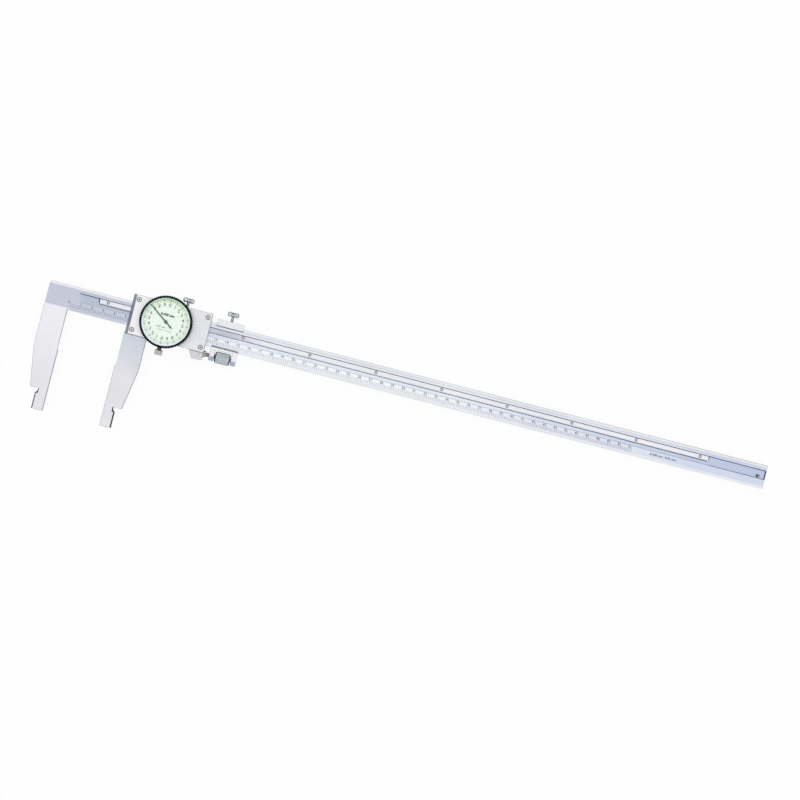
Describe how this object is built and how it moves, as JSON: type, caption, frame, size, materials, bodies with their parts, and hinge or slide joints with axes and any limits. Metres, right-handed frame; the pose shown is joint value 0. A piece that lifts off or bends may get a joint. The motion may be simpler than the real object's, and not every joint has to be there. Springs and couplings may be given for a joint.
{
  "type": "dial caliper",
  "caption": "Long dial caliper with nib jaws, a sliding dial body on a racked beam, thumb-screw locks and a fine-adjustment clamp.",
  "frame": {"origin": "plane of the fixed measuring face on the beam's centreline, on the beam's back face", "axes": "+X along the beam towards larger readings, +Y towards the beam's upper edge away from the jaws, +Z out of the dial"},
  "size_m": [0.6572, 0.1265, 0.0211],
  "materials": {
    "beam_steel": "satin ground hardened stainless steel",
    "rack_steel": "ground steel",
    "screw_steel": "turned steel",
    "body_steel": "satin ground steel",
    "cover_steel": "satin ground steel",
    "gib_bronze": "phosphor bronze",
    "thumb_steel": "satin chrome plate",
    "gear_brass": "machined brass",
    "case_brass": "turned brass",
    "bezel_black": "black anodised",
    "dial_green": "matt printed dial",
    "ring_chrome": "polished",
    "crystal_glass": "clear",
    "pointer_green": "enamelled"
  },
  "bodies": {
    "beam": {"main_beam": "beam_steel", "rack": "rack_steel", "rack_screws": "screw_steel", "stop_screw": "screw_steel"},
    "slider": {"slider_body": "body_steel", "gib_strip": "gib_bronze", "gib_screws": "screw_steel", "cover_plate": "cover_steel", "cover_screws": "screw_steel", "dial_case": "case_brass", "case_screws": "screw_steel", "train_bridge": "case_brass", "bridge_screws": "screw_steel", "bezel_spring": "screw_steel", "bezel_clamp_shoe": "gear_brass", "fine_screw": "screw_steel", "fine_screw_collar": "screw_steel"},
    "lock_screw": {"slider_lock_screw": "thumb_steel"},
    "rack_arbor": {"rack_pinion": "screw_steel", "drive_wheel": "gear_brass", "scissor_wheel": "gear_brass", "scissor_spring": "screw_steel"},
    "pointer_arbor": {"centre_pinion": "screw_steel", "pointer": "pointer_green"},
    "bezel_ring": {"bezel": "bezel_black", "dial_face": "dial_green", "dial_ring": "ring_chrome", "crystal": "crystal_glass"},
    "bezel_clamp": {"bezel_clamp_screw": "thumb_steel"},
    "fine_adjuster": {"fine_clamp": "body_steel", "clamp_shoe": "gib_bronze"},
    "clamp_screw": {"clamp_lock_screw": "thumb_steel"},
    "adjusting_nut": {"fine_nut": "thumb_steel"}
  },
  "joints": [
    {"name": "slider_travel", "type": "slide", "parent": "beam", "child": "slider", "axis": [1, 0, 0], "range_m": [-0.0507, 0.4493]},
    {"name": "lock_screw_turn", "type": "hinge", "parent": "slider", "child": "lock_screw", "pos_m": [0.0986, 0.02, 0.003], "axis": [0, 1, 0], "range_deg": [0, 270]},
    {"name": "rack_pinion_spin", "type": "hinge", "parent": "slider", "child": "rack_arbor", "pos_m": [0.0935, 0.00015, 0.01], "axis": [0, 0, 1], "continuous": true},
    {"name": "pointer_spin", "type": "hinge", "parent": "slider", "child": "pointer_arbor", "pos_m": [0.0845, 0.0003, 0.012], "axis": [0, 0, 1], "continuous": true},
    {"name": "bezel_turn", "type": "hinge", "parent": "slider", "child": "bezel_ring", "pos_m": [0.0845, 0.0003, 0.014], "axis": [0, 0, 1], "continuous": true},
    {"name": "bezel_clamp_turn", "type": "hinge", "parent": "slider", "child": "bezel_clamp", "pos_m": [0.0845, -0.024, 0.0082], "axis": [0, -1, 0], "range_deg": [0, 180]},
    {"name": "fine_adjust", "type": "slide", "parent": "slider", "child": "fine_adjuster", "axis": [1, 0, 0], "range_m": [-0.002, 0.006]},
    {"name": "clamp_screw_turn", "type": "hinge", "parent": "fine_adjuster", "child": "clamp_screw", "pos_m": [0.1393, 0.018, 0.003], "axis": [0, 1, 0], "range_deg": [0, 270]},
    {"name": "adjusting_nut_turn", "type": "hinge", "parent": "fine_adjuster", "child": "adjusting_nut", "pos_m": [0.1393, -0.0183, 0.0034], "axis": [1, 0, 0], "continuous": true}
  ],
  "couplings": [
    {"joint": "rack_pinion_spin", "follows": "slider_travel", "rad_per_m": 628.32},
    {"joint": "pointer_spin", "follows": "slider_travel", "rad_per_m": -3141.6},
    {"joint": "adjusting_nut_turn", "follows": "fine_adjust", "rad_per_m": 12566}
  ]
}
